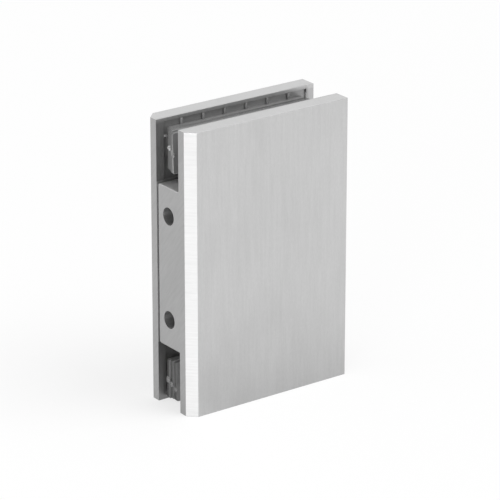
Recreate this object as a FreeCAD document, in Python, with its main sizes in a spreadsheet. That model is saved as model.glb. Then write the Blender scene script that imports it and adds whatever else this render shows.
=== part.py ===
import FreeCAD, Part
import os
import Sketcher

# Glass to wall bracket: a front plate with a wall block in one piece, a separate clamp plate
# behind it, and a slot between the two for the edge of a glass pane. Soft pads line the slot.
# Frame: the wall is the plane X = 0 and the bracket reaches to +X. The front faces -Y, +Z is up.
# The origin is on the wall, in the middle of the slot's width and of the bracket's height.

os.makedirs("parts", exist_ok=True)
doc = FreeCAD.newDocument("glass_to_wall_bracket")


# Driving dimensions in millimetres

SIZES = [
    ("plate_width", 58.0, "both plates, from the wall outwards"),
    ("plate_height", 90.0, "both plates"),
    ("front_plate_thickness", 5.6, "front plate"),
    ("clamp_plate_thickness", 5.6, "clamp plate"),
    ("slot_width", 11.4, "between the two plates"),
    ("plate_chamfer", 2.7, "wall-side outer edge of each plate"),
    ("edge_break", 0.1, "radius on the other outer edges of the plates"),
    ("block_reach", 20.0, "wall block, from the wall outwards"),
    ("block_height", 51.0, "wall block"),
    ("clamp_gap", 0.7, "from the wall block to the clamp plate"),
    ("block_corner_radius", 0.8, "long rear edges of the wall block"),
    ("block_edge_break", 0.4, "edges of the wall block at the wall"),
    ("wall_hole_diameter", 5.5, "clearance holes for 5 mm wall screws"),
    ("wall_hole_spacing", 33.0, "between the wall screw holes"),
    ("wall_hole_sink", 10.5, "countersink diameter on the glass side"),
    ("clamp_screw_diameter", 6.0, "clamp screw thread"),
    ("clamp_screw_length", 16.0, "clamp screw, head included"),
    ("clamp_screw_spacing", 16.0, "between the clamp screws"),
    ("clamp_screw_reach", 10.0, "clamp screws, from the wall"),
    ("clamp_head_diameter", 12.0, "clamp screw head"),
    ("clamp_head_land", 0.3, "straight rim of the head"),
    ("clamp_head_set_back", 0.1, "head below the plate's face"),
    ("clamp_hole_clearance", 0.3, "round the screw in the clamp plate"),
    ("clamp_sink_clearance", 0.1, "round the rim of the head"),
    ("thread_clearance", 0.05, "round the screw in the wall block"),
    ("thread_spare_depth", 1.6, "tapped hole past the screw's tip"),
    ("screw_tip_chamfer", 0.8, "lead-in at the screw's tip"),
    ("hex_key_width", 4.0, "across the flats of the screw socket"),
    ("hex_socket_depth", 2.5, "screw socket"),
    ("recess_depth", 0.6, "shallow seat for the pad in each plate"),
    ("recess_side_margin", 2.8, "plate left at the sides of the seat"),
    ("recess_end_margin", 1.1, "plate left above and below the seat"),
    ("pad_clearance", 0.1, "between the pad and the walls of its seat"),
    ("pad_proud", 1.0, "pad above the face of its plate"),
    ("lug_side_length", 1.5, "lugs on the pad's upright edges"),
    ("lug_end_length", 2.0, "lugs on the pad's level edges"),
    ("lug_width", 0.8, "lugs on the rim of the pad"),
    ("lug_pitch", 7.85, "lugs on the rim of the pad"),
    ("pad_notch_side_gap", 5.5, "from the wall block's glass side to the pads"),
    ("pad_notch_end_gap", 6.9, "from the wall block's ends to the pads"),
    ("packer_thickness", 1.3, "each loose packer"),
    ("packer_height", 86.1, "each loose packer"),
    ("packer_notch_side_gap", 6.0, "from the wall block's glass side to a packer"),
    ("packer_notch_end_gap", 4.7, "from the wall block's ends to a packer in its middle place"),
    ("packer_notch_radius", 3.0, "inner corners of the packers' notch"),
    ("packer_corner_radius", 0.7, "outer corners of a packer"),
    ("packer_start", 2.9, "from the wall to a packer"),
    ("packer_side_margin", 3.7, "from a packer to the glass side of the plates"),
    ("packer_slip", 1.1, "packers below their middle place"),
    ("last_packer_slip", 1.5, "packer furthest from its plate, below its middle place"),
    ("packer_lean", 0.8, "degrees, lean of the packer nearest its plate"),
    ("packer_lean_step", 0.65, "degrees less for each further packer"),
]

PACKER_COUNT = 3

sizes = doc.addObject("Spreadsheet::Sheet", "sizes")
for row, (name, value, meaning) in enumerate(SIZES, start=1):
    sizes.set(f"A{row}", name)
    sizes.set(f"B{row}", str(value))
    sizes.set(f"C{row}", meaning)
    sizes.setAlias(f"B{row}", name)
doc.recompute()


def size(name):
    """The present value of one driving dimension."""
    return float(sizes.get(name))


# Places that several pieces share, written as expressions on the sheet

BLOCK_DEPTH = "(sizes.slot_width - sizes.clamp_gap)"
HOLE_Y = f"({BLOCK_DEPTH} / 2)"
CLAMP_HEAD_HEIGHT = (
    "(sizes.clamp_head_land + (sizes.clamp_head_diameter - sizes.clamp_screw_diameter) / 2)"
)
CLAMP_HOLE_DIAMETER = "(sizes.clamp_screw_diameter + 2 * sizes.clamp_hole_clearance)"
CLAMP_SINK_DIAMETER = (
    "(sizes.clamp_head_diameter"
    " + 2 * (sizes.clamp_head_land + sizes.clamp_head_set_back + sizes.clamp_sink_clearance))"
)
TAPPED_DIAMETER = "(sizes.clamp_screw_diameter + 2 * sizes.thread_clearance)"
SCREW_TIP_IN_BLOCK = (
    "(sizes.clamp_screw_length + sizes.clamp_head_set_back"
    " - sizes.clamp_plate_thickness - sizes.clamp_gap)"
)
RECESS_WIDTH = "(sizes.plate_width - 2 * sizes.recess_side_margin)"
RECESS_HEIGHT = "(sizes.plate_height - 2 * sizes.recess_end_margin)"
PACKER_WIDTH = "(sizes.plate_width - sizes.packer_start - sizes.packer_side_margin)"
PACKER_NOTCH_REACH = "(sizes.block_reach + sizes.packer_notch_side_gap)"
PACKER_NOTCH_HEIGHT = "(sizes.block_height + 2 * sizes.packer_notch_end_gap)"
PAD_NOTCH_REACH = "(sizes.block_reach + sizes.pad_notch_side_gap)"
PAD_NOTCH_HEIGHT = "(sizes.block_height + 2 * sizes.pad_notch_end_gap)"
LUG_TIP_X = "(sizes.recess_side_margin + sizes.pad_clearance)"
LUG_TIP_Z = "(sizes.plate_height / 2 - sizes.recess_end_margin - sizes.pad_clearance)"


# Helpers for bodies, sketches and features

def new_body(label):
    body = doc.addObject("PartDesign::Body", label)
    body.Label = label
    return body


def origin_item(body, role):
    """The body's own origin plane or axis with this role."""
    return next(item for item in body.Origin.OriginFeatures if item.Role == role)


def new_sketch(body, name, plane, offset=None):
    """A sketch on one of the body's origin planes, moved along its normal by an expression."""
    sketch = body.newObject("Sketcher::SketchObject", name)
    sketch.AttachmentSupport = (origin_item(body, plane), [""])
    sketch.MapMode = "FlatFace"
    if offset:
        sketch.setExpression("AttachmentOffset.Base.z", offset)
    return sketch


def bind(sketch, kind, *geometry, expression):
    """A distance or diameter of the sketch, bound to an expression on the sheet."""
    index = sketch.addConstraint(Sketcher.Constraint(kind, *geometry, 1.0))
    sketch.setExpression(f"Constraints[{index}]", expression)


# Numbers of an element's points and of a sketch's own axes
START, END, CENTRE = range(1, 4)
LEVEL_AXIS, UPRIGHT_AXIS = range(-1, -3, -1)
ORIGIN = (LEVEL_AXIS, START)


def polygon(sketch, points):
    """A closed outline through rough points. Its sides are level and upright."""
    corners = [FreeCAD.Vector(x, y, 0) for x, y in points]
    lines = []
    for first, second in zip(corners, corners[1:] + corners[:1]):
        lines.append(sketch.addGeometry(Part.LineSegment(first, second), False))
    for line, following in zip(lines, lines[1:] + lines[:1]):
        sketch.addConstraint(Sketcher.Constraint("Coincident", line, END, following, START))
    for number, line in enumerate(lines):
        kind = "Horizontal" if number % 2 == 0 else "Vertical"
        sketch.addConstraint(Sketcher.Constraint(kind, line))
    return lines


def centred_rectangle(sketch, left, width, height):
    """A rectangle as high above the level axis as below it. left is 0 or an expression."""
    top, right, *_ = polygon(sketch, [(1, 5), (9, 5), (9, -5), (1, -5)])
    if left:
        bind(sketch, "DistanceX", *ORIGIN, top, START, expression=left)
    else:
        sketch.addConstraint(Sketcher.Constraint("PointOnObject", top, START, UPRIGHT_AXIS))
    bind(sketch, "DistanceX", top, START, top, END, expression=width)
    bind(sketch, "DistanceY", right, END, right, START, expression=height)
    bind(sketch, "DistanceY", *ORIGIN, top, START, expression=f"{height} / 2")


def paired_circles(sketch, across, spacing, diameter, side=1):
    """Two equal circles, one above the other, about the level axis."""
    for sign in (1, -1):
        centre = FreeCAD.Vector(3 * side, 5 * sign, 0)
        circle = sketch.addGeometry(Part.Circle(centre, FreeCAD.Vector(0, 0, 1), 1), False)
        bind(sketch, "Diameter", circle, expression=diameter)
        if side > 0:
            bind(sketch, "DistanceX", *ORIGIN, circle, CENTRE, expression=across)
        else:
            bind(sketch, "DistanceX", circle, CENTRE, *ORIGIN, expression=across)
        if sign > 0:
            bind(sketch, "DistanceY", *ORIGIN, circle, CENTRE, expression=f"{spacing} / 2")
        else:
            bind(sketch, "DistanceY", circle, CENTRE, *ORIGIN, expression=f"{spacing} / 2")


def add_feature(body, kind, name, sketch, length, towards_plus_y):
    """A pad or pocket of a sketch. The XZ plane's normal is -Y, so +Y is the reversed way."""
    before = body.Shape.Volume if body.Tip else 0.0
    feature = body.newObject(f"PartDesign::{kind}", name)
    feature.Profile = sketch
    feature.setExpression("Length", length)
    feature.Reversed = towards_plus_y if kind == "Pad" else not towards_plus_y
    doc.recompute()
    change = body.Shape.Volume - before
    if (change <= 0) if kind == "Pad" else (change >= 0):
        raise RuntimeError(f"{name} changed the volume by {change:.3f}")
    return feature


def near(first, second):
    return abs(first - second) < 1e-3


def dress(body, kind, name, value, chosen):
    """A fillet or chamfer on the straight edges of the tip whose ends pass the test."""
    tip = body.Tip
    edges = []
    for number, edge in enumerate(tip.Shape.Edges, start=1):
        ends = [vertex.Point for vertex in edge.Vertexes]
        straight = len(ends) == 2 and near(edge.Length, ends[0].distanceToPoint(ends[1]))
        if straight and chosen(ends):
            edges.append(f"Edge{number}")
    if not edges:
        raise RuntimeError(f"{name} found no edge")
    feature = body.newObject(f"PartDesign::{kind}", name)
    feature.Base = (tip, edges)
    feature.setExpression("Radius" if kind == "Fillet" else "Size", value)
    doc.recompute()
    return feature


# The two plates

def add_plate(body, thickness, towards_plus_y):
    """A plate with its inner face on the body's XZ plane, chamfered at the wall side."""
    outline = new_sketch(body, f"{body.Label}_outline", "XZ_Plane")
    centred_rectangle(outline, 0, "sizes.plate_width", "sizes.plate_height")
    add_feature(body, "Pad", f"{body.Label}_plate", outline, thickness, towards_plus_y)

    bounds = body.Tip.Shape.BoundBox
    outer_y = bounds.YMax if towards_plus_y else bounds.YMin
    dress(
        body, "Chamfer", f"{body.Label}_wall_side_chamfer", "sizes.plate_chamfer",
        lambda ends: all(near(end.x, 0) and near(end.y, outer_y) for end in ends),
    )
    half_height = size("plate_height") / 2
    width = size("plate_width")
    dress(
        body, "Fillet", f"{body.Label}_edge_break", "sizes.edge_break",
        lambda ends: near(ends[0].z, ends[1].z) and near(abs(ends[0].z), half_height)
        or all(near(end.x, width) for end in ends),
    )
    seat = new_sketch(body, f"{body.Label}_pad_seat", "XZ_Plane")
    centred_rectangle(seat, "sizes.recess_side_margin", RECESS_WIDTH, RECESS_HEIGHT)
    add_feature(body, "Pocket", f"{body.Label}_seat", seat, "sizes.recess_depth", towards_plus_y)


def make_bracket_body():
    """Front plate and wall block, machined as one piece."""
    body = new_body("bracket_body")
    body.setExpression("Placement.Base.y", "-sizes.slot_width / 2")
    add_plate(body, "sizes.front_plate_thickness", towards_plus_y=False)

    block = new_sketch(body, "block_outline", "XZ_Plane", "sizes.recess_depth")
    centred_rectangle(block, 0, "sizes.block_reach", "sizes.block_height")
    add_feature(
        body, "Pad", "wall_block", block, f"{BLOCK_DEPTH} + sizes.recess_depth",
        towards_plus_y=True,
    )
    depth = size("slot_width") - size("clamp_gap")
    half_block = size("block_height") / 2
    dress(
        body, "Fillet", "block_rear_corners", "sizes.block_corner_radius",
        lambda ends: all(near(end.y, depth) and near(abs(end.z), half_block) for end in ends)
        and not near(ends[0].x, ends[1].x),
    )

    wall_holes = new_sketch(body, "wall_hole_centres", "YZ_Plane", "sizes.block_reach")
    paired_circles(
        wall_holes, HOLE_Y, "sizes.wall_hole_spacing", "sizes.wall_hole_diameter"
    )
    doc.recompute()
    before = body.Shape.Volume
    drilled = body.newObject("PartDesign::Hole", "wall_screw_holes")
    drilled.Profile = wall_holes
    drilled.DepthType = "ThroughAll"
    drilled.ThreadType = "None"
    drilled.HoleCutType = "Countersink"
    drilled.HoleCutCountersinkAngle = 90
    drilled.setExpression("Diameter", "sizes.wall_hole_diameter")
    drilled.setExpression("HoleCutDiameter", "sizes.wall_hole_sink")
    doc.recompute()
    if body.Shape.Volume >= before:
        raise RuntimeError("the wall screw holes cut nothing")

    tapped = new_sketch(body, "clamp_hole_centres", "XZ_Plane", f"-{BLOCK_DEPTH}")
    paired_circles(
        tapped, "sizes.clamp_screw_reach", "sizes.clamp_screw_spacing", TAPPED_DIAMETER
    )
    add_feature(
        body, "Pocket", "tapped_holes", tapped,
        f"{SCREW_TIP_IN_BLOCK} + sizes.thread_spare_depth", towards_plus_y=False,
    )
    corner = size("block_corner_radius")
    dress(
        body, "Fillet", "block_wall_edges", "sizes.block_edge_break",
        lambda ends: all(near(end.x, 0) for end in ends)
        and (
            all(near(abs(end.z), half_block) and -1e-4 < end.y < depth for end in ends)
            or all(near(end.y, depth) and abs(end.z) < half_block - corner / 2 for end in ends)
        ),
    )
    return body


def make_clamp_plate():
    """The loose rear plate, drawn towards the wall block by the clamp screws."""
    body = new_body("clamp_plate")
    body.setExpression("Placement.Base.y", "sizes.slot_width / 2")
    add_plate(body, "sizes.clamp_plate_thickness", towards_plus_y=True)

    holes = new_sketch(body, "screw_hole_centres", "XZ_Plane", "-sizes.clamp_plate_thickness")
    paired_circles(
        holes, "sizes.clamp_screw_reach", "sizes.clamp_screw_spacing", CLAMP_HOLE_DIAMETER
    )
    doc.recompute()
    before = body.Shape.Volume
    drilled = body.newObject("PartDesign::Hole", "countersunk_holes")
    drilled.Profile = holes
    drilled.Reversed = True
    drilled.DepthType = "ThroughAll"
    drilled.ThreadType = "None"
    drilled.HoleCutType = "Countersink"
    drilled.HoleCutCountersinkAngle = 90
    drilled.setExpression("Diameter", CLAMP_HOLE_DIAMETER)
    drilled.setExpression("HoleCutDiameter", CLAMP_SINK_DIAMETER)
    doc.recompute()
    if body.Shape.Volume >= before:
        raise RuntimeError("the clamp screw holes cut nothing")
    return body


# Clamp screws: countersunk heads with a hex socket, entering from behind

def make_clamp_screw(label, sign):
    """One screw, turned about its own axis. sign is 1 for the upper one."""
    body = new_body(label)
    body.Placement.Rotation = FreeCAD.Rotation(FreeCAD.Vector(1, 0, 0), 90)
    body.setExpression("Placement.Base.x", "sizes.clamp_screw_reach")
    body.setExpression(
        "Placement.Base.y",
        "sizes.slot_width / 2 + sizes.clamp_plate_thickness - sizes.clamp_head_set_back",
    )
    body.setExpression("Placement.Base.z", f"{sign} * sizes.clamp_screw_spacing / 2")

    radius = "sizes.clamp_screw_diameter / 2"
    rough = [(0, 0), (6, 0), (6, 1), (3, 4), (3, 15), (2, 16), (0, 16)]
    profile = new_sketch(body, f"{label}_profile", "XZ_Plane")
    corners = [FreeCAD.Vector(x, y, 0) for x, y in rough]
    face, rim, cone, shank, lead_in, tip, axis = [
        profile.addGeometry(Part.LineSegment(first, second), False)
        for first, second in zip(corners, corners[1:] + corners[:1])
    ]
    loop = [face, rim, cone, shank, lead_in, tip, axis]
    for line, following in zip(loop, loop[1:] + loop[:1]):
        profile.addConstraint(Sketcher.Constraint("Coincident", line, END, following, START))
    profile.addConstraint(Sketcher.Constraint("Coincident", face, START, *ORIGIN))
    for line in (face, tip):
        profile.addConstraint(Sketcher.Constraint("Horizontal", line))
    for line in (rim, shank, axis):
        profile.addConstraint(Sketcher.Constraint("Vertical", line))
    bind(profile, "DistanceX", face, START, face, END,
         expression="sizes.clamp_head_diameter / 2")
    bind(profile, "DistanceY", rim, START, rim, END, expression="sizes.clamp_head_land")
    bind(profile, "DistanceX", *ORIGIN, shank, START, expression=radius)
    bind(profile, "DistanceY", *ORIGIN, shank, START, expression=CLAMP_HEAD_HEIGHT)
    bind(profile, "DistanceX", tip, END, tip, START,
         expression=f"{radius} - sizes.screw_tip_chamfer")
    bind(profile, "DistanceY", lead_in, START, lead_in, END,
         expression="sizes.screw_tip_chamfer")
    bind(profile, "DistanceY", *ORIGIN, tip, START, expression="sizes.clamp_screw_length")

    turned = body.newObject("PartDesign::Revolution", f"{label}_turned")
    turned.Profile = profile
    turned.ReferenceAxis = (profile, ["V_Axis"])
    turned.Angle = 360
    doc.recompute()

    hexagon = new_sketch(body, f"{label}_hexagon", "XY_Plane")
    across_corners = size("hex_key_width") / 3 ** 0.5
    points = []
    for step in range(6):
        turn = FreeCAD.Rotation(FreeCAD.Vector(0, 0, 1), 60 * step)
        points.append(turn.multVec(FreeCAD.Vector(across_corners, 0, 0)))
    sides = [
        hexagon.addGeometry(Part.LineSegment(first, second), False)
        for first, second in zip(points, points[1:] + points[:1])
    ]
    for line, following in zip(sides, sides[1:] + sides[:1]):
        hexagon.addConstraint(Sketcher.Constraint("Coincident", line, END, following, START))
    circle = hexagon.addGeometry(
        Part.Circle(FreeCAD.Vector(0, 0, 0), FreeCAD.Vector(0, 0, 1), across_corners), True
    )
    hexagon.addConstraint(Sketcher.Constraint("Coincident", circle, CENTRE, *ORIGIN))
    for line in sides:
        hexagon.addConstraint(Sketcher.Constraint("PointOnObject", line, START, circle))
    for line in sides[1:]:
        hexagon.addConstraint(Sketcher.Constraint("Equal", sides[0], line))
    hexagon.addConstraint(
        Sketcher.Constraint("PointOnObject", sides[0], START, LEVEL_AXIS)
    )
    bind(hexagon, "Radius", circle, expression="sizes.hex_key_width / sqrt(3)")

    before = body.Shape.Volume
    socket = body.newObject("PartDesign::Pocket", f"{label}_socket")
    socket.Profile = hexagon
    socket.Reversed = True
    socket.setExpression("Length", "sizes.hex_socket_depth")
    doc.recompute()
    if body.Shape.Volume >= before:
        raise RuntimeError(f"{label} has no socket")
    return body


# Pads: a C round the wall block, with lugs on its rim that locate it in the plate's seat

def box(name, length, width, height, x, y, z):
    """A box with its corner at x, y, z. Every value is an expression."""
    block = doc.addObject("Part::Box", name)
    for prop, expression in (("Length", length), ("Width", width), ("Height", height)):
        block.setExpression(prop, expression)
    for axis, expression in (("x", x), ("y", y), ("z", z)):
        block.setExpression(f"Placement.Base.{axis}", expression)
    return block


def lug_places(span):
    """Places of the lugs along one edge of the pad, in pitches from its middle."""
    count = int(span / size("lug_pitch"))
    return [number - (count - 1) / 2 for number in range(count)]


def make_pad(label, floor_y, thick_from, lug_from):
    """A pad. floor_y is its seat, and the other two are where its solids start in Y."""
    thickness = "(sizes.recess_depth + sizes.pad_proud)"
    inner_x = f"({LUG_TIP_X} + sizes.lug_side_length)"
    inner_z = f"({LUG_TIP_Z} - sizes.lug_end_length)"
    field = box(
        f"{label}_field",
        f"sizes.plate_width - 2 * {inner_x}", thickness, f"2 * {inner_z}",
        inner_x, thick_from, f"-{inner_z}",
    )
    doc.recompute()
    lugs = []
    field_length = field.Length.Value
    field_height = field.Height.Value
    for number, place in enumerate(lug_places(field_length)):
        lug_x = f"sizes.plate_width / 2 + {place} * sizes.lug_pitch - sizes.lug_width / 2"
        lugs.append(box(
            f"{label}_upright_lug_{number}",
            "sizes.lug_width", "sizes.recess_depth", f"2 * {LUG_TIP_Z}",
            lug_x, lug_from, f"-{LUG_TIP_Z}",
        ))
    for number, place in enumerate(lug_places(field_height)):
        lug_z = f"{place} * sizes.lug_pitch - sizes.lug_width / 2"
        lugs.append(box(
            f"{label}_level_lug_{number}",
            f"sizes.plate_width - 2 * {LUG_TIP_X}", "sizes.recess_depth", "sizes.lug_width",
            LUG_TIP_X, lug_from, lug_z,
        ))
    whole = doc.addObject("Part::MultiFuse", f"{label}_whole")
    whole.Shapes = [field] + lugs

    notch = box(
        f"{label}_notch",
        PAD_NOTCH_REACH, f"3 * {thickness}", PAD_NOTCH_HEIGHT,
        "0", f"{floor_y} - 1.5 * {thickness}", f"-{PAD_NOTCH_HEIGHT} / 2",
    )
    pad = doc.addObject("Part::Cut", label)
    pad.Label = label
    pad.Base = whole
    pad.Tool = notch
    pad.Refine = True
    return pad


def make_front_pad():
    floor_y = "(-sizes.slot_width / 2 - sizes.recess_depth)"
    return make_pad("front_pad", floor_y, floor_y, floor_y)


def make_rear_pad():
    floor_y = "(sizes.slot_width / 2 + sizes.recess_depth)"
    return make_pad(
        "rear_pad", floor_y,
        "sizes.slot_width / 2 - sizes.pad_proud",
        "sizes.slot_width / 2",
    )


# Loose packers for thinner glass, kept against the rear pad

def make_packer(number):
    """Packer number 0 touches the rear pad, and each further one touches the one before."""
    label = f"packer_{number + 1}"
    body = new_body(label)
    outline = new_sketch(body, f"{label}_outline", "XZ_Plane")
    rough = [(4, 43), (56, 43), (56, -43), (4, -43), (4, -31), (26, -31), (26, 31), (4, 31)]
    top, glass_side, _, lower_end, _, notch, *_ = polygon(outline, rough)
    for edge in (top, lower_end):
        bind(outline, "DistanceX", *ORIGIN, edge, START, expression="sizes.packer_start")
    bind(outline, "DistanceX", top, START, top, END, expression=PACKER_WIDTH)
    bind(outline, "DistanceX", *ORIGIN, notch, START, expression=PACKER_NOTCH_REACH)
    bind(outline, "DistanceY", *ORIGIN, top, START, expression="sizes.packer_height / 2")
    bind(outline, "DistanceY", glass_side, END, glass_side, START,
         expression="sizes.packer_height")
    bind(outline, "DistanceY", notch, START, notch, END, expression=PACKER_NOTCH_HEIGHT)
    bind(outline, "DistanceY", *ORIGIN, notch, END, expression=f"{PACKER_NOTCH_HEIGHT} / 2")
    add_feature(
        body, "Pad", f"{label}_sheet", outline, "sizes.packer_thickness", towards_plus_y=False
    )

    notch_x = size("block_reach") + size("packer_notch_side_gap")
    dress(
        body, "Fillet", f"{label}_notch_corners", "sizes.packer_notch_radius",
        lambda ends: all(near(end.x, notch_x) for end in ends)
        and not near(ends[0].y, ends[1].y),
    )
    side_x = (size("packer_start"), size("plate_width") - size("packer_side_margin"))
    dress(
        body, "Fillet", f"{label}_outer_corners", "sizes.packer_corner_radius",
        lambda ends: any(all(near(end.x, x) for end in ends) for x in side_x)
        and not near(ends[0].y, ends[1].y),
    )
    last = number == PACKER_COUNT - 1
    body.setExpression(
        "Placement.Base.y",
        f"sizes.slot_width / 2 - sizes.pad_proud - {number} * sizes.packer_thickness",
    )
    body.setExpression("Placement.Base.z", f"-sizes.{'last_' if last else ''}packer_slip")
    body.Placement.Rotation = FreeCAD.Rotation(FreeCAD.Vector(0, 1, 0), 1)
    body.setExpression(
        "Placement.Rotation.Angle",
        f"(sizes.packer_lean - {number} * sizes.packer_lean_step) * 1deg",
    )
    return body


parts = [
    make_bracket_body(),
    make_clamp_plate(),
    make_clamp_screw("clamp_screw_upper", 1),
    make_clamp_screw("clamp_screw_lower", -1),
    make_front_pad(),
    make_rear_pad(),
]
parts += [make_packer(number) for number in range(PACKER_COUNT)]
doc.recompute()


# Check every object, then write one file for each piece

for item in doc.Objects:
    if "Invalid" in item.State or "Error" in item.State:
        raise RuntimeError(f"{item.Label} did not build")
for part in parts:
    shape = part.Shape
    if shape.isNull() or not shape.isValid() or not shape.Solids:
        raise RuntimeError(f"{part.Label} is not a valid solid")
    bounds = shape.BoundBox
    print(
        f"{part.Label}: {len(shape.Solids)} solid, {shape.Volume:.1f} mm3,"
        f" X {bounds.XMin:.2f} to {bounds.XMax:.2f},"
        f" Y {bounds.YMin:.2f} to {bounds.YMax:.2f},"
        f" Z {bounds.ZMin:.2f} to {bounds.ZMax:.2f}"
    )
    shape.exportStep(f"parts/{part.Label}.step")
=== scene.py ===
import math

import bmesh
import bpy
from mathutils import Matrix, Vector


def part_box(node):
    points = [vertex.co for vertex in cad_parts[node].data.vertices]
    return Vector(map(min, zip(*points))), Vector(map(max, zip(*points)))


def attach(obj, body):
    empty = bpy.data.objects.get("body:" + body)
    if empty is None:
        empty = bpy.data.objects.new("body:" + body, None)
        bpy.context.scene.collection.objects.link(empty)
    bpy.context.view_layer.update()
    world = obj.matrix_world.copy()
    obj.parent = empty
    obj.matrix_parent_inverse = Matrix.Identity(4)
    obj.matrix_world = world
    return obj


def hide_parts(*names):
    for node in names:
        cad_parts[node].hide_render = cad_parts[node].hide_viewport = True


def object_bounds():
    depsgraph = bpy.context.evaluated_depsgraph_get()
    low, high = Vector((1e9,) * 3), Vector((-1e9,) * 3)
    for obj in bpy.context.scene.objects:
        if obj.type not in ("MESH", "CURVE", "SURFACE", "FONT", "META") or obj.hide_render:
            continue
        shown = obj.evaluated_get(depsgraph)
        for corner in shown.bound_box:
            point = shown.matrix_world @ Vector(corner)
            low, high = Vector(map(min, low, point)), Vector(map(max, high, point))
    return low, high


# Glass to wall bracket in satin steel, standing on a pale floor. Lengths are in metres.
# The wall side is at X = 0, the front plate faces -Y and the clamp plate is behind it.

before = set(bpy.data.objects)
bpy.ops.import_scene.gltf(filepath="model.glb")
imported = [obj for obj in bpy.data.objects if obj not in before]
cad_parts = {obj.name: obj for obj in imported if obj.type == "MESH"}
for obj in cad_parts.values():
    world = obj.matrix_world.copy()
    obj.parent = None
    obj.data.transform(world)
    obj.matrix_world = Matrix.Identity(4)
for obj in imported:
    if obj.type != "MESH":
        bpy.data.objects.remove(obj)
cad_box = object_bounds()
scene = bpy.context.scene
MM = 0.001


# Camera, at the photograph's viewing angle

AZIMUTH = math.radians(-35.979)
ELEVATION = math.radians(21.172)
DISTANCE = 956.23 * MM
FOCAL_LENGTH = 227.85
AIM = Vector((30.0, 0.0, 0.0)) * MM
AIM_UP = -0.95 * MM

forward = Vector((
    -math.sin(AZIMUTH) * math.cos(ELEVATION),
    math.cos(AZIMUTH) * math.cos(ELEVATION),
    -math.sin(ELEVATION),
))
up = forward.cross(Vector((0, 0, 1))).cross(forward).normalized()

camera_data = bpy.data.cameras.new("camera")
camera_data.lens = FOCAL_LENGTH
camera_data.sensor_width = 36
camera_data.clip_end = 20
camera = bpy.data.objects.new("camera", camera_data)
camera.location = AIM + AIM_UP * up - DISTANCE * forward
camera.rotation_euler = forward.to_track_quat("-Z", "Y").to_euler()
scene.collection.objects.link(camera)
scene.camera = camera
scene.view_settings.view_transform = "Standard"


# Node trees, with their arithmetic written as Python expressions

class Socket:
    """A value in a node tree. Arithmetic on it adds math nodes to the tree."""

    def __init__(self, tree, source):
        self.tree = tree
        self.source = source

    def math(self, operation, *values):
        return self.tree.node("ShaderNodeMath", dict(enumerate(values)), operation=operation)()

    def __add__(self, other):
        return self.math("ADD", self, other)

    def __sub__(self, other):
        return self.math("SUBTRACT", self, other)

    def __rsub__(self, other):
        return self.math("SUBTRACT", other, self)

    def __mul__(self, other):
        return self.math("MULTIPLY", self, other)

    def __pow__(self, other):
        return self.math("POWER", self, other)

    def __abs__(self):
        return self.math("ABSOLUTE", self)

    __radd__ = __add__
    __rmul__ = __mul__

    def spread(self, low, high):
        """0 where this value is low or less, 1 where it is high or more."""
        made = self.tree.node(
            "ShaderNodeMapRange", {"Value": self, "From Min": low, "From Max": high}, clamp=True
        )
        return made()


class Tree:
    """The nodes of one material or of the world."""

    def __init__(self, owner):
        owner.use_nodes = True
        self.nodes = owner.node_tree.nodes
        self.links = owner.node_tree.links
        self.nodes.clear()

    def node(self, kind, inputs=None, **settings):
        """Adds a node and returns a function that gives its outputs."""
        made = self.nodes.new(kind)
        for name, value in settings.items():
            setattr(made, name, value)
        for key, value in (inputs or {}).items():
            if isinstance(value, Socket):
                self.links.new(value.source, made.inputs[key])
            else:
                made.inputs[key].default_value = value
        return lambda output=0: Socket(self, made.outputs[output])

    def place(self):
        """The object's own X, Y and Z."""
        vector = self.node("ShaderNodeTexCoord")("Object")
        parts = self.node("ShaderNodeSeparateXYZ", {"Vector": vector})
        return parts("X"), parts("Y"), parts("Z")

    def facing(self):
        """How far the surface turns to X, Y and Z, whichever way along them."""
        normal = self.node("ShaderNodeNewGeometry")("True Normal")
        parts = self.node("ShaderNodeSeparateXYZ", {"Vector": normal})
        return abs(parts("X")), abs(parts("Y")), abs(parts("Z"))

    def noise(self, x, y, z, detail=2.0):
        vector = self.node("ShaderNodeCombineXYZ", {"X": x, "Y": y, "Z": z})()
        return self.node(
            "ShaderNodeTexNoise",
            {"Vector": vector, "Scale": 1.0, "Detail": detail, "Roughness": 0.6},
        )()

    def blend(self, amount, first, second):
        """A colour between two others. Each is a colour, a grey value or a socket."""
        colours = [
            (value, value, value, 1.0) if isinstance(value, float) else value
            for value in (first, second)
        ]
        made = self.node(
            "ShaderNodeMix", {0: amount, 6: colours[0], 7: colours[1]}, data_type="RGBA"
        )
        return made(2)

    def looked_at(self):
        """1 for what the camera, a mirror or glass shows, and 1 for what a mirror shows."""
        path = self.node("ShaderNodeLightPath")
        mirrored = path("Is Glossy Ray")
        return path("Is Camera Ray") + mirrored + path("Is Transmission Ray"), mirrored

    def bump(self, height, strength, distance):
        return self.node(
            "ShaderNodeBump", {"Height": height, "Strength": strength, "Distance": distance}
        )()

    def surface(self, **inputs):
        """A plain surface with these settings, as the tree's result."""
        named = {name.replace("_", " "): value for name, value in inputs.items()}
        shader = self.node("ShaderNodeBsdfPrincipled", named)()
        self.node("ShaderNodeOutputMaterial", {"Surface": shader})


# Materials

# Places where the steel changes its finish, and where its painted shade and light change
INNER_Y = 6.5 * MM
BLOCK_REACH = 20.0 * MM
BLOCK_TOP = 25.5 * MM
HALF_HEIGHT = 45.0 * MM
SEAT_TOP = 43.9 * MM
SEAT_END = 55.2 * MM

# Tones of each finish and of the painted shade and light, from the dark to the light of its
# grain
GROUND_TONES = (0.505, 0.675)
SAWN_SHADED_TONES = (0.35, 0.48)
CUT_LIT_TONES = (0.68, 0.82)
MILLED_SHADE_TONES = (0.23, 0.33)
MILLED_FAR_LIGHT_TONE = 0.46
PAINTED_LIGHT_TONE = 0.9
WORN_AND_SHADE_TONE = 0.2


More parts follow.
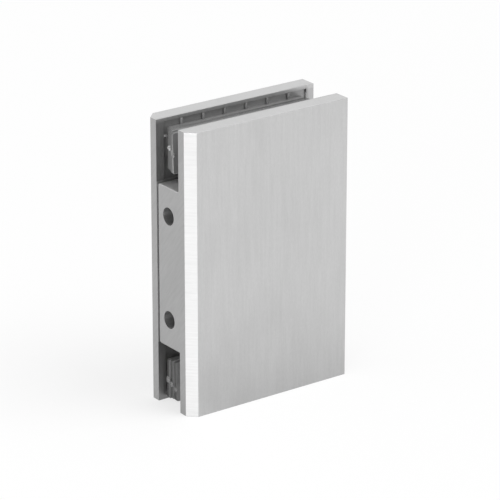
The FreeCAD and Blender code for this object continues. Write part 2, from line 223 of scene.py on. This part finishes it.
def satin_steel():
    """Plates ground upright on their faces, bright cut chamfers with a painted highlight, seats
    cut into the inner faces. Painted shade darkens the wall sides and the faces between the
    plates, and painted light brightens the block's top and bottom and the seat ends.
    """
    material = bpy.data.materials.new("satin_steel")
    tree = Tree(material)
    x, y, z = tree.place()
    to_x, to_y, to_z = tree.facing()

    # Places on the plates, each 1 within and 0 outside
    chamfer = (to_x * to_y * 2).spread(0.6, 0.9)
    wall_side = to_x.spread(0.8, 0.95)
    edge = (to_y * to_z * 2).spread(0.2, 0.6)
    between_plates = (INNER_Y - abs(y)).spread(0.0, 0.2 * MM)
    slot = between_plates * (1 - wall_side)
    beside_block = (BLOCK_REACH - x).spread(-0.3 * MM, -0.1 * MM)
    block = (BLOCK_TOP - abs(z)).spread(-0.3 * MM, -0.1 * MM) * beside_block * slot
    inner = slot * (1 - block)
    block_end = abs(z).spread(BLOCK_TOP - 1.2 * MM, BLOCK_TOP - 0.4 * MM)
    ledge = block_end * block * to_z.spread(0.9, 1.0)
    over_seat = z.spread(SEAT_TOP - 0.4 * MM, SEAT_TOP + 0.8 * MM)
    past_seat = x.spread(SEAT_END, SEAT_END + MM)
    at_end = x.spread(SEAT_END - 2 * MM, SEAT_END - MM) * (SEAT_END + MM - x).spread(0.0, MM)
    below_top = (SEAT_TOP - z).spread(1.0 * MM, 1.5 * MM)
    seat_end = wall_side * between_plates * at_end * below_top

    # Marks left by the tools
    upright = tree.noise(x * 1200, y * 1200, z * 75)
    hairs = tree.noise(x * 2400, y * 2400, z * 800)
    sawn = tree.noise((y * 0.8 + z * 0.6) * 1300, (z * 0.8 - y * 0.6) * 140, 0.0)
    level = tree.noise(x * 90, y * 90, z * 1900, detail=3.0)
    clouds = tree.noise(x * 70, y * 70, z * 45)
    ground = upright * 0.5 + hairs * 0.5
    grain = ground + (level - ground) * chamfer + (sawn - ground) * wall_side
    # The marks are clouds in the grain plus painted shade on the rounded edges between front
    # and top, which dims their reflection
    marks = clouds.spread(0.35, 0.7) * 0.06 + edge * 0.5

    # Tones: the chamfer's painted highlight fades upwards. The faces between the plates get
    # painted shade, which eases away from the wall and deepens a little again at their end. The
    # wall sides get painted shade over their sawn grain.
    outer = tree.blend(
        wall_side, tree.blend(grain, *GROUND_TONES), tree.blend(grain, *SAWN_SHADED_TONES)
    )
    painted_falloff = z.spread(-HALF_HEIGHT, HALF_HEIGHT) * 0.2 + z.spread(10 * MM, 40 * MM) * 0.1
    cut = tree.blend(grain, *CUT_LIT_TONES) * (1.14 - painted_falloff)
    painted_slot_ramp = tree.blend(x.spread(0.0, 40 * MM), tree.blend(grain, *MILLED_SHADE_TONES), MILLED_FAR_LIGHT_TONE)
    painted_slot_shade = painted_slot_ramp * (1 - x.spread(46 * MM, 52 * MM) * 0.25)
    # Above the seats and past their end the painted shade gives way to the ground tone
    seat = tree.blend((over_seat + past_seat) * 0.7, painted_slot_shade, outer)
    plate = tree.blend(inner, tree.blend(chamfer, outer, cut), seat)
    # Painted light: the block's top and bottom faces and the seat ends are painted nearly white
    colour = tree.blend(ledge + seat_end, plate, PAINTED_LIGHT_TONE)

    tree.surface(
        Base_Color=tree.blend(marks, colour, WORN_AND_SHADE_TONE),
        Metallic=1.0 - inner * 0.2 - block * 0.25 - seat_end * 0.9,
        Roughness=0.38 + (grain - 0.5) * 0.2 + (clouds - 0.5) * 0.06 - chamfer * 0.03,
        Normal=tree.bump(grain, 0.3, 0.02 * MM),
    )
    return material


SCREW_X = 10.0 * MM
SCREW_Z = 8.0 * MM
SOCKET_REACH = 2.4 * MM
TURNED_TONES = (0.48, 0.70)
SOCKET_SHADE_TONE = 0.24


def turned_steel():
    """Screw heads, with rings left by the turning tool round each screw's axis."""
    material = bpy.data.materials.new("turned_steel")
    tree = Tree(material)
    x, y, z = tree.place()
    across = x - SCREW_X
    along = abs(z) - SCREW_Z
    radius = (across * across + along * along) ** 0.5
    rings = tree.noise(radius * 6500, y * 2500, 0.0)
    clouds = tree.noise(x * 160, y * 160, z * 160)
    # Painted shade: the screw sockets are darkened where shade falls in them
    socket_shade = (SOCKET_REACH - radius).spread(0.0, 0.2 * MM)
    turned = tree.blend(rings, *TURNED_TONES)
    tree.surface(
        Base_Color=tree.blend(socket_shade * 0.5 + clouds * 0.15, turned, SOCKET_SHADE_TONE),
        Metallic=1.0,
        Roughness=0.30 + (rings - 0.5) * 0.2 + clouds * 0.08,
        Normal=tree.bump(rings, 0.3, 0.02 * MM),
    )
    return material


LOWER_LEG_Z = (-32.0 * MM, -26.0 * MM)
TORN_TONES = (0.30, 0.75)


def soft_plastic(name, dark, light, roughness):
    """Grey moulded plastic with fine pores, rubbed places, whitish torn gate marks and painted
    highlights.

    The lower legs have painted shade on their sides and painted light on their flat faces.
    """
    material = bpy.data.materials.new(name)
    tree = Tree(material)
    x, y, z = tree.place()
    to_x, to_y, _ = tree.facing()
    # Painted shade on the sides of the lower legs and painted light on their flat faces
    lower_leg = 1 - z.spread(*LOWER_LEG_Z)
    painted_lower_shade = lower_leg * to_x.spread(0.1, 0.6) * 0.5
    painted_lower_light = lower_leg * to_y.spread(0.95, 1.0) * 0.6
    pores = tree.noise(x * 3800, y * 3800, z * 3800)
    rubbed = tree.noise(x * 260, y * 420, z * 170, detail=3.0).spread(0.5, 0.75)
    fibres = tree.noise(x * 2600, y * 2600, z * 1500, detail=3.0)
    # The torn layer holds torn gate marks and also painted highlights on packer rims and lug
    # wall sides
    torn = tree.node("ShaderNodeAttribute", attribute_name="torn")("Fac")
    moulded = tree.blend(pores * 0.5 + rubbed * 0.5, dark, light) * (1 - painted_lower_shade + painted_lower_light)
    tree.surface(
        Base_Color=tree.blend(torn, moulded, tree.blend(fibres, *TORN_TONES)),
        Roughness=roughness + (pores - 0.5) * 0.12 - rubbed * 0.12,
        Normal=tree.bump(pores * 0.6 + fibres * torn, 0.3, 0.05 * MM),
        IOR=1.5,
    )
    return material


STEEL = satin_steel()
SCREW_STEEL = turned_steel()
PAD_PLASTIC = soft_plastic("pad_plastic", dark=0.17, light=0.25, roughness=0.45)
PACKER_PLASTIC = soft_plastic("packer_plastic", dark=0.13, light=0.22, roughness=0.33)

for nodes, material in (
    (("bracket_body", "clamp_plate"), STEEL),
    (("clamp_screw_upper", "clamp_screw_lower"), SCREW_STEEL),
    (("front_pad", "rear_pad"), PAD_PLASTIC),
    (("packer_1", "packer_2", "packer_3"), PACKER_PLASTIC),
):
    for node in nodes:
        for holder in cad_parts[node].material_slots:
            holder.material = material


# Moulded pads and packers, with soft edges

def new_shape():
    """An empty mesh. Its layer says how pale each vertex is, from 0 to 1, for torn plastic and
    for painted highlights.
    """
    shape = bmesh.new()
    shape.verts.layers.float.new("torn")
    return shape


class Piece:
    """A mesh put together from several shapes, which stands for one CAD node."""

    def __init__(self):
        self.mesh = new_shape()

    def add(self, shape):
        held = bpy.data.meshes.new("held")
        shape.to_mesh(held)
        shape.free()
        self.mesh.from_mesh(held)
        bpy.data.meshes.remove(held)

    def finish(self, name, node, material):
        data = bpy.data.meshes.new(name)
        self.mesh.to_mesh(data)
        self.mesh.free()
        for face in data.polygons:
            face.use_smooth = True
        data.set_sharp_from_angle(angle=math.radians(48))
        data.materials.append(material)
        piece = bpy.data.objects.new(name, data)
        scene.collection.objects.link(piece)
        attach(piece, "root")
        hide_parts(node)


def soften(shape, edges, radius, segments):
    """Rounds these edges. Returns the new faces."""
    return bmesh.ops.bevel(
        shape, geom=edges, offset=radius, offset_type="OFFSET", segments=segments,
        profile=0.5, affect="EDGES", material=-1, clamp_overlap=True,
    )["faces"]


def make_pale(shape, vertices, amount):
    """Makes these vertices pale by this amount, for torn plastic and for painted highlights."""
    layer = shape.verts.layers.float["torn"]
    for vertex in vertices:
        vertex[layer] = amount


# Share of the painted rim highlight that every rounded rim gets
CREST_SHARE = 0.15


def c_sheet(x_span, y_span, z_span, notch_x, notch_z, corner, notch_corner, rim, rim_highlight):
    """A flat sheet with a notch in its wall side, notch_z above and below the middle."""
    left, far = x_span
    near_y, far_y = y_span
    low, high = z_span
    shape = new_shape()
    corners = [
        (left, high), (far, high), (far, low), (left, low),
        (left, -notch_z), (notch_x, -notch_z), (notch_x, notch_z), (left, notch_z),
    ]
    face = shape.faces.new([shape.verts.new((x, near_y, z)) for x, z in corners])
    grown = bmesh.ops.extrude_face_region(shape, geom=[face])["geom"]
    moved = [item for item in grown if isinstance(item, bmesh.types.BMVert)]
    bmesh.ops.translate(shape, verts=moved, vec=(0, far_y - near_y, 0))
    bmesh.ops.recalc_face_normals(shape, faces=shape.faces)
    for radius, at_notch in ((corner, False), (notch_corner, True)):
        across = [
            edge for edge in shape.edges
            if abs(edge.verts[0].co.y - edge.verts[1].co.y) > 0.1 * MM
            and edge.calc_length() > 0.9 * (far_y - near_y)
            and (abs(edge.verts[0].co.x - notch_x) < 0.01 * MM) == at_notch
            and abs(edge.calc_face_angle(0)) > math.radians(60)
        ]
        soften(shape, across, radius, 6)
    shape.normal_update()
    rims = [
        edge for edge in shape.edges
        if {abs(face.normal.y) > 0.9 for face in edge.link_faces} == {True, False}
    ]
    rounded = set(soften(shape, rims, rim, 3))
    # Painted highlights: every rounded rim gets a faint one, the rim at the upper leg's end a
    # full one
    crest = [vertex for vertex in shape.verts if rounded.issuperset(vertex.link_faces)]
    upper_leg_end = [
        vertex for vertex in crest
        if vertex.co.x < notch_x - notch_corner - MM
        and 0 < vertex.co.z < notch_z + corner + rim
    ]
    make_pale(shape, crest, rim_highlight * CREST_SHARE)
    make_pale(shape, upper_leg_end, rim_highlight)
    return shape


LUG_PAINTED_LIGHT = 0.25


def soft_box(low, high, rim):
    """A small lug, with painted light on its wall side."""
    shape = new_shape()
    bmesh.ops.create_cube(shape, size=1.0)
    low, high = Vector(low), Vector(high)
    bmesh.ops.scale(shape, verts=shape.verts, vec=high - low)
    bmesh.ops.translate(shape, verts=shape.verts, vec=(low + high) / 2)
    soften(shape, list(shape.edges), rim, 2)
    middle = (low.x + high.x) / 2
    make_pale(shape, [vertex for vertex in shape.verts if vertex.co.x < middle], LUG_PAINTED_LIGHT)
    return shape


def gate_mark(centre, reach, tilt, pale, seed):
    """The torn stub where a packer was broken off its runner: a small ragged lump."""
    shape = new_shape()
    bmesh.ops.create_icosphere(shape, subdivisions=3, radius=1.0)
    for vertex in shape.verts:
        x, y, z = vertex.co
        ragged = math.sin(5.1 * x + seed) * math.sin(6.3 * z + 2 * seed) + 0.6 * math.sin(
            9.7 * y + 3 * seed
        ) * math.sin(11.0 * z + seed)
        vertex.co *= 1 + 0.3 * ragged
    bmesh.ops.scale(shape, verts=shape.verts, vec=reach)
    turn = Matrix.Rotation(math.radians(tilt), 3, "X")
    bmesh.ops.rotate(shape, verts=shape.verts, cent=(0, 0, 0), matrix=turn)
    bmesh.ops.translate(shape, verts=shape.verts, vec=centre)
    make_pale(shape, shape.verts, pale)
    return shape


PACKER_START = 2.9 * MM
PACKER_WIDTH = 51.4 * MM
PACKER_HEIGHT = 86.1 * MM
PACKER_NOTCH_X = 26.0 * MM
PACKER_NOTCH_Z = 30.2 * MM
PACKER_CORNER = 0.7 * MM
PACKER_NOTCH_CORNER = 3.0 * MM
PACKER_RIM = 0.2 * MM
PACKER_SLIPS = (1.1 * MM, 1.1 * MM, 1.5 * MM)
PACKER_LEANS = (0.8, 0.15, -0.5)

# Gate marks by packer: their middle from its wall side, along its thickness and upwards, their
# half sizes in millimetres, their tilt in degrees, and how pale they are
GATE_MARKS = (
    (((-0.05, -0.2, -36.9), (0.3, 0.8, 1.1), -35, 0.35),),
    (
        ((-0.15, 0.0, 37.6), (0.6, 0.6, 0.8), -20, 1.0),
        ((-0.05, 0.1, -38.0), (0.3, 0.7, 0.9), -40, 0.35),
    ),
    (
        ((0.1, -0.4, 36.6), (0.4, 0.5, 1.25), -25, 0.35),
        ((0.0, 0.0, -39.1), (0.3, 0.7, 0.7), -30, 0.3),
    ),
)


def make_packer(index):
    node = f"packer_{index + 1}"
    low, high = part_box(node)
    half = PACKER_HEIGHT / 2
    far = PACKER_START + PACKER_WIDTH
    packer = Piece()
    packer.add(c_sheet(
        (PACKER_START, far), (low.y, high.y), (-half, half), PACKER_NOTCH_X, PACKER_NOTCH_Z,
        PACKER_CORNER, PACKER_NOTCH_CORNER, PACKER_RIM, rim_highlight=1.0,
    ))
    side = Vector((PACKER_START, (low.y + high.y) / 2, 0))
    for number, (centre, reach, tilt, pale) in enumerate(GATE_MARKS[index]):
        place = side + Vector(centre) * MM
        packer.add(gate_mark(place, Vector(reach) * MM, tilt, pale, seed=index * 2.1 + number))
    lean = Matrix.Rotation(math.radians(PACKER_LEANS[index]), 4, "Y")
    slide = Matrix.Translation((0, 0, -PACKER_SLIPS[index]))
    bmesh.ops.transform(packer.mesh, matrix=slide @ lean, verts=packer.mesh.verts)
    packer.finish(f"packer_sheet_{index + 1}", node, PACKER_PLASTIC)


LUG_SIDE = 1.5 * MM
LUG_END = 2.0 * MM
LUG_WIDTH = 0.8 * MM
LUG_PITCH = 7.85 * MM
LUG_ROOT = 0.3 * MM
LUG_RIM = 0.22 * MM
LUGS_ACROSS = 6
LUGS_UPWARDS = 11
SEAT_DEPTH = 0.6 * MM
PAD_NOTCH_X = 25.5 * MM
PAD_NOTCH_Z = 32.4 * MM
PAD_CORNER = 0.5 * MM
PAD_NOTCH_CORNER = 0.6 * MM
PAD_RIM = 0.18 * MM


def lug_line(middle, count):
    return [middle + (number - (count - 1) / 2) * LUG_PITCH for number in range(count)]


def make_pad(node, behind):
    """A pad in its seat. behind is True for the one in the clamp plate."""
    low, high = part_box(node)
    left, far = low.x + LUG_SIDE, high.x - LUG_SIDE
    bottom, top = low.z + LUG_END, high.z - LUG_END
    seat = (high.y - SEAT_DEPTH, high.y) if behind else (low.y, low.y + SEAT_DEPTH)
    pad = Piece()
    pad.add(c_sheet(
        (left, far), (low.y, high.y), (bottom, top), PAD_NOTCH_X, PAD_NOTCH_Z,
        PAD_CORNER, PAD_NOTCH_CORNER, PAD_RIM, rim_highlight=0.0,
    ))
    half = LUG_WIDTH / 2
    for x in lug_line((low.x + high.x) / 2, LUGS_ACROSS):
        for z0, z1 in ((top - LUG_ROOT, high.z), (low.z, bottom + LUG_ROOT)):
            pad.add(soft_box((x - half, seat[0], z0), (x + half, seat[1], z1), LUG_RIM))
    for z in lug_line((low.z + high.z) / 2, LUGS_UPWARDS):
        spans = [(far - LUG_ROOT, high.x)]
        if abs(z) - half > PAD_NOTCH_Z:
            spans.append((low.x, left + LUG_ROOT))
        for x0, x1 in spans:
            pad.add(soft_box((x0, seat[0], z - half), (x1, seat[1], z + half), LUG_RIM))
    pad.finish(f"{node}_moulding", node, PAD_PLASTIC)


for index in range(len(PACKER_SLIPS)):
    make_packer(index)
make_pad("rear_pad", behind=True)
make_pad("front_pad", behind=False)


# Floor, light and background

FLOOR_REACH = 6.0
FLOOR_TONE = 0.92
FLOOR_GLOW = 0.7
SOFT_LIGHT = 0.7
FOOT_X = 29.0 * MM
SHADE_REACH = (12 * MM, 80 * MM)
SHADE_START_X = (-8 * MM, 14 * MM)
SHADE_AMOUNT = 0.35


def make_floor():
    """White to look at, with a faint shadow, and shaded in reflections before the front."""
    mesh = bmesh.new()
    bmesh.ops.create_grid(mesh, x_segments=1, y_segments=1, size=FLOOR_REACH)
    bmesh.ops.translate(mesh, verts=mesh.verts, vec=(0, 0, cad_box[0].z))
    data = bpy.data.meshes.new("floor")
    mesh.to_mesh(data)
    mesh.free()
    floor = bpy.data.objects.new("floor", data)
    scene.collection.objects.link(floor)
    material = bpy.data.materials.new("pale_floor")
    tree = Tree(material)
    x, y, _ = tree.place()
    seen, mirrored = tree.looked_at()
    away = ((x - FOOT_X) * (x - FOOT_X) * 0.4 + y * y) ** 0.5
    before_front = x.spread(*SHADE_START_X)
    shade = (1 - away.spread(*SHADE_REACH)) * before_front * mirrored * SHADE_AMOUNT
    white = seen * FLOOR_GLOW * (1 - shade)
    tree.surface(
        Base_Color=tree.blend(seen * FLOOR_GLOW, FLOOR_TONE, 0.0),
        Roughness=0.9, Specular_IOR_Level=0.0,
        Emission_Color=tree.blend(white, 0.0, 1.0), Emission_Strength=1.0,
    )
    data.materials.append(material)


def add_lamp(name, kind, place, **settings):
    data = bpy.data.lights.new(name, kind)
    for setting, value in settings.items():
        setattr(data, setting, value)
    lamp = bpy.data.objects.new(name, data)
    lamp.location = place
    lamp.rotation_euler = (-Vector(place)).to_track_quat("-Z", "Y").to_euler()
    scene.collection.objects.link(lamp)


def make_world():
    """White to look at and in reflections, softer as light on matt surfaces."""
    world = bpy.data.worlds.new("studio")
    scene.world = world
    tree = Tree(world)
    seen, _ = tree.looked_at()
    background = tree.node("ShaderNodeBackground", {"Color": tree.blend(seen, SOFT_LIGHT, 1.0)})
    tree.node("ShaderNodeOutputWorld", {"Surface": background()})


make_floor()
make_world()
add_lamp("daylight", "SUN", (0.5, -0.6, 1.1), energy=1.3, angle=math.radians(40))
add_lamp(
    "side_panel", "AREA", (-0.52, -0.40, 0.06),
    shape="RECTANGLE", size=0.25, size_y=0.25, energy=1.2,
)
